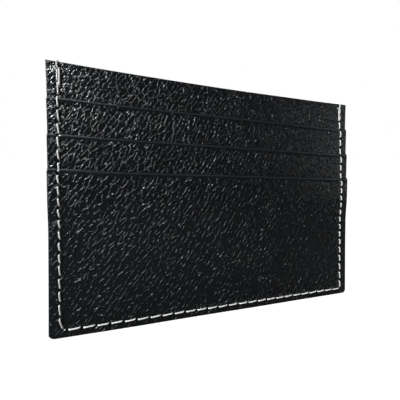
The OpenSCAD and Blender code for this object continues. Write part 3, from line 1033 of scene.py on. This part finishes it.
class HOLDER_OT_inner_parts(bpy.types.Operator):
    """Finishes the boards and hidden floor seams that the frame already shapes"""

    bl_idname = "holder.inner_parts"
    bl_label = "Boards and floor seams"

    def execute(self, context):
        board = board_material()
        dark = thread_material("black_thread", (0.03, 0.03, 0.032))
        parts = (("reinforcement", board, "board"), ("top_floor_seam", dark, "floor_thread"),
                 ("middle_floor_seam", dark, "floor_thread"))
        for side in SIDES:
            for name, material, slot in parts:
                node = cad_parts[f"{side}_{name}"]
                node.data.materials.clear()
                node.data.materials.append(material)
        return {"FINISHED"}


# ---------------------------------------------------------------- the studio


# Where the lights point
MIDDLE = (0.0, 0.0, 0.04)


def area_light(name, place, width, height, watts, colour):
    """A rectangular light that points at the holder's middle and isn't seen itself."""
    light = bpy.data.lights.new(name, "AREA")
    light.shape, light.size, light.size_y = "RECTANGLE", width, height
    light.energy, light.color = watts, colour
    obj = bpy.data.objects.new(name, light)
    obj.location = place
    obj.rotation_euler = (Vector(MIDDLE) - Vector(place)).to_track_quat("-Z", "Y").to_euler()
    bpy.context.scene.collection.objects.link(obj)
    obj.visible_camera = False


def pale_floor():
    """A wide pale floor, which reflects as a dark one so that the leather keeps its black."""
    material = bpy.data.materials.new("pale_floor")
    material.use_nodes = True
    tree = material.node_tree
    tree.nodes.clear()
    grit = object_place(tree).noise(0.05, 2.0)
    grey = grit.blend((0.10, 0.10, 0.10, 1), (0.12, 0.12, 0.12, 1))
    matt = grit.add("ShaderNodeBsdfDiffuse", inputs={"Color": grey})
    glow = grit.add("ShaderNodeEmission", inputs={"Color": (1, 1, 1, 1), "Strength": 1.15})
    seen = Wire.place(tree, "ShaderNodeLightPath", out="Is Camera Ray")
    mixed = grit.add("ShaderNodeMixShader", inputs={0: seen * 0.92, 1: matt, 2: glow})
    out = tree.nodes.new("ShaderNodeOutputMaterial")
    tree.links.new(mixed.socket, out.inputs["Surface"])

    count, reach = 24, 3.0
    line = np.linspace(-reach, reach, count)
    x, y = np.meshgrid(line, line, indexing="xy")
    mesh = bpy.data.meshes.new("studio_floor")
    points = np.stack([x.ravel(), y.ravel(), np.zeros(count * count)], 1)
    mesh.from_pydata(points.tolist(), [], grid_faces(count, count))
    mesh.materials.append(material)
    floor = bpy.data.objects.new("studio_floor", mesh)
    bpy.context.scene.collection.objects.link(floor)
    return floor


def studio_room(ambient):
    """The world: a dim room round the holder, seen as a white backdrop."""
    world = bpy.data.worlds.new("studio_room")
    world.use_nodes = True
    tree = world.node_tree
    tree.nodes.clear()
    seen = Wire.place(tree, "ShaderNodeLightPath", out="Is Camera Ray")
    room = seen.add("ShaderNodeBackground", inputs={"Color": (0.95, 0.98, 1.0, 1), "Strength": ambient})
    backdrop = seen.add("ShaderNodeBackground", inputs={"Color": (1, 1, 1, 1), "Strength": 1.0})
    mixed = seen.add("ShaderNodeMixShader", inputs={0: seen, 1: room, 2: backdrop})
    out = tree.nodes.new("ShaderNodeOutputWorld")
    tree.links.new(mixed.socket, out.inputs["Surface"])
    return world


def close_camera(lens):
    """A camera close to the holder's left end, so that the right end looks much smaller."""
    camera = bpy.data.cameras.new("camera")
    camera.lens, camera.sensor_width = lens, 36.0
    camera.clip_start, camera.clip_end = 0.005, 20
    camera.shift_x, camera.shift_y = -0.03965, 0.0007
    yaw, pitch, roll = math.radians(-17.21), math.radians(-1.60), math.radians(0.13)
    turn = Matrix.Rotation(yaw, 4, "Z") @ Matrix.Rotation(math.pi / 2 + pitch, 4, "X")
    stand = Matrix.Translation((-0.0252, -0.0715, 0.0390))
    rig = bpy.data.objects.new("camera", camera)
    rig.matrix_world = stand @ turn @ Matrix.Rotation(roll, 4, "Z")
    bpy.context.scene.collection.objects.link(rig)
    return rig


class HOLDER_OT_stage(bpy.types.Operator):
    """Sets the floor, lights, room and camera"""

    bl_idname = "holder.stage"
    bl_label = "Floor, lights and camera"

    def execute(self, context):
        scene = context.scene
        s = scene.holder_studio
        pale_floor()
        scene.world = studio_room(s.ambient)
        area_light("key_light", (-0.335, -0.20, 0.335), 0.07, 0.07, s.key, (0.95, 0.98, 1.0))
        area_light("top_light", (-0.10, 0.10, 0.60), 0.5, 0.10, s.top, (0.92, 0.97, 1.0))
        area_light("side_light", (-0.50, -0.08, 0.12), 0.10, 0.35, s.side, (0.88, 0.94, 1.0))
        area_light("right_light", (0.60, -0.35, 0.15), 0.4, 0.4, s.right, (0.96, 0.98, 1.0))
        area_light("back_light", (0.35, 0.45, 0.45), 0.3, 0.3, s.key * 0.9, (1.0, 1.0, 1.0))
        scene.view_settings.view_transform = "Standard"
        scene.camera = close_camera(s.lens)
        return {"FINISHED"}


class HOLDER_PT_panel(bpy.types.Panel):
    """Lists the settings and the operators in the sidebar"""

    bl_label = "Card Holder"
    bl_idname = "HOLDER_PT_panel"
    bl_space_type = "VIEW_3D"
    bl_region_type = "UI"
    bl_category = "Card Holder"

    def draw(self, context):
        for group in SETTINGS:
            settings = getattr(context.scene, group)
            box = self.layout.box()
            for name in settings.__annotations__:
                box.prop(settings, name)
        for operator in OPERATORS:
            self.layout.operator(operator.bl_idname)


SETTINGS = {"holder_leather": LeatherSettings, "holder_thread": ThreadSettings,
            "holder_studio": StudioSettings}
OPERATORS = (HOLDER_OT_leather, HOLDER_OT_linings, HOLDER_OT_edge_paint, HOLDER_OT_stitching,
             HOLDER_OT_inner_parts, HOLDER_OT_stage)


def register():
    for name, group in SETTINGS.items():
        bpy.utils.register_class(group)
        setattr(bpy.types.Scene, name, bpy.props.PointerProperty(type=group))
    for cls in (*OPERATORS, HOLDER_PT_panel):
        bpy.utils.register_class(cls)


def unregister():
    for cls in (HOLDER_PT_panel, *reversed(OPERATORS)):
        bpy.utils.unregister_class(cls)
    for name, group in SETTINGS.items():
        delattr(bpy.types.Scene, name)
        bpy.utils.unregister_class(group)


def main():
    register()
    bpy.ops.holder.leather()
    bpy.ops.holder.linings()
    bpy.ops.holder.edge_paint()
    bpy.ops.holder.stitching()
    bpy.ops.holder.inner_parts()
    bpy.ops.holder.stage()


if __name__ == "__main__":
    main()
